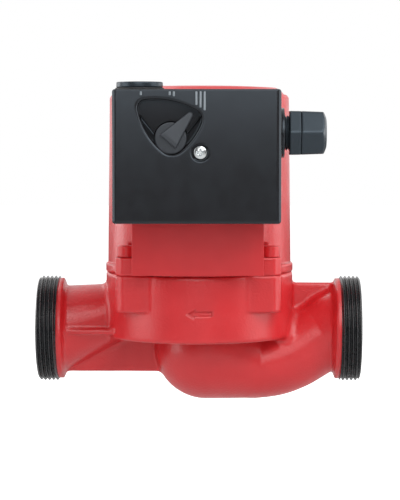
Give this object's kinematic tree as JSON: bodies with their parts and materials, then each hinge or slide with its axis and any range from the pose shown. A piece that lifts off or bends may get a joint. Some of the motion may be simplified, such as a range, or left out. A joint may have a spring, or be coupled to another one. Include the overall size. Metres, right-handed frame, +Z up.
{
  "type": "circulator pump",
  "caption": "In-line glandless heating circulator with a cast housing, canned-rotor motor, front terminal box, speed knob and threaded union ports.",
  "frame": {"origin": "centre of the suction port's sealing face", "axes": "+X out of the suction port along the common axis of both ports; +Z up, along the motor axis, from the pump housing to the motor's end; -Y towards the terminal box"},
  "size_m": [0.18, 0.1464, 0.1759],
  "materials": {
    "red_enamel": "semi-gloss red enamel on grey cast iron",
    "red_plate": "satin red enamel on sheet steel",
    "dark_iron": "blackened machined iron",
    "stainless": "drawn stainless steel",
    "zinc_steel": "bright zinc-plated steel",
    "brass": "turned brass",
    "copper_winding": "enamelled copper wire",
    "bearing_carbon": "lapped carbon",
    "impeller_plastic": "moulded glass-filled plastic",
    "seal_rubber": "moulded black rubber",
    "grey_rubber": "moulded grey rubber",
    "black_plastic": "moulded black ABS, semi-gloss",
    "knob_plastic": "moulded dark grey plastic, satin",
    "gland_nylon": "moulded black nylon, satin",
    "ivory_plastic": "moulded ivory plastic"
  },
  "bodies": {
    "pump": {"pump_housing": "red_enamel", "wear_ring": "stainless", "housing_gasket": "seal_rubber", "bearing_plate": "stainless", "lower_bearing": "bearing_carbon", "upper_bearing": "bearing_carbon", "bearing_holder": "stainless", "rotor_can": "stainless", "stator_core": "dark_iron", "stator_windings": "copper_winding", "stator_housing": "red_enamel", "vent_screw": "brass", "vent_seal": "seal_rubber", "motor_screws": "red_enamel", "nameplate": "red_plate", "box_base": "black_plastic", "box_screws": "zinc_steel", "box_gasket": "seal_rubber", "terminal_cover": "black_plastic", "cover_screw": "zinc_steel", "terminal_block": "ivory_plastic", "earth_terminal": "brass", "capacitor": "ivory_plastic", "speed_switch": "black_plastic", "blanking_plug": "gland_nylon", "plug_washer": "seal_rubber", "gland_flange": "gland_nylon", "gland_body": "gland_nylon", "gland_locknut": "gland_nylon", "gland_seal": "grey_rubber", "gland_nut": "gland_nylon"},
    "rotor": {"impeller": "impeller_plastic", "impeller_bush": "brass", "shaft": "stainless", "thrust_bearing": "bearing_carbon", "rotor_core": "stainless"},
    "knob": {"speed_knob": "knob_plastic"}
  },
  "joints": [
    {"name": "rotor_spin", "type": "hinge", "parent": "pump", "child": "rotor", "pos_m": [-0.09, 0, 0.07], "axis": [0, 0, 1], "continuous": true},
    {"name": "speed_select", "type": "hinge", "parent": "pump", "child": "knob", "pos_m": [-0.1034, -0.09, 0.1068], "axis": [0, -1, 0], "range_deg": [0, 80]}
  ]
}
